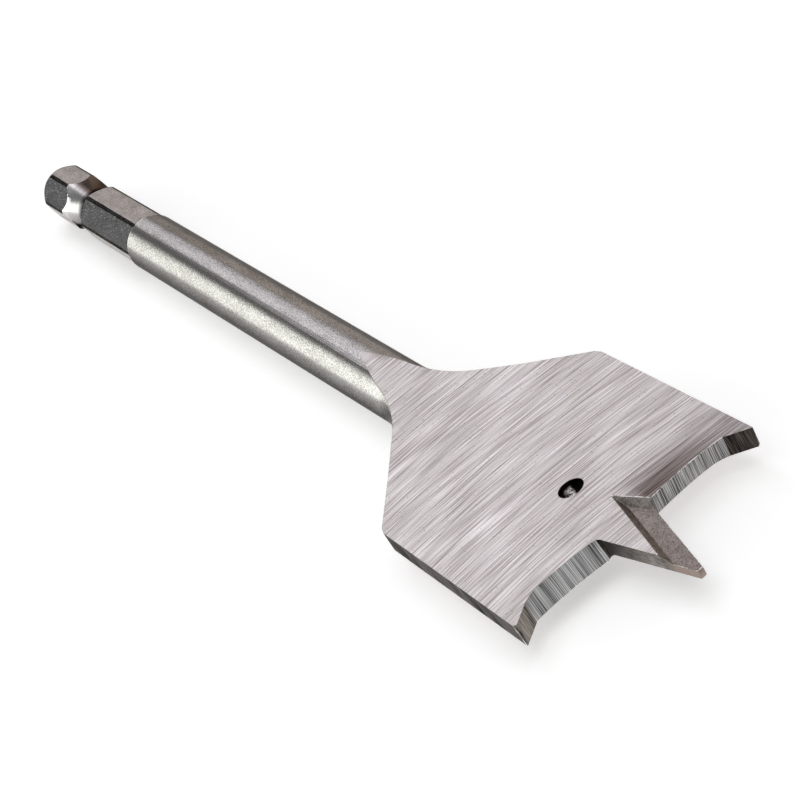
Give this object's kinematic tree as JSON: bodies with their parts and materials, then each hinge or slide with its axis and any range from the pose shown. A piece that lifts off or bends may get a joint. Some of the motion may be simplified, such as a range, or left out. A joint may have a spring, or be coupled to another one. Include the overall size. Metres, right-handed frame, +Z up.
{
  "type": "spade drill bit",
  "caption": "Flat wood-boring bit: a hexagonal quick-change shank, a round shaft and a flat ground blade with spurs and a long centre point.",
  "frame": {"origin": "on the drill axis, at the flat end of the hexagon shank", "axes": "+X along the drill axis towards the point, +Z up out of the level blade's face, Y across the blade"},
  "size_m": [0.1595, 0.03, 0.007],
  "materials": {
    "steel": "ground bare steel with grind lines across the blade, and a satin tumbled shaft and shank"
  },
  "bodies": {
    "root": {"spade_bit": "steel"}
  },
  "joints": []
}
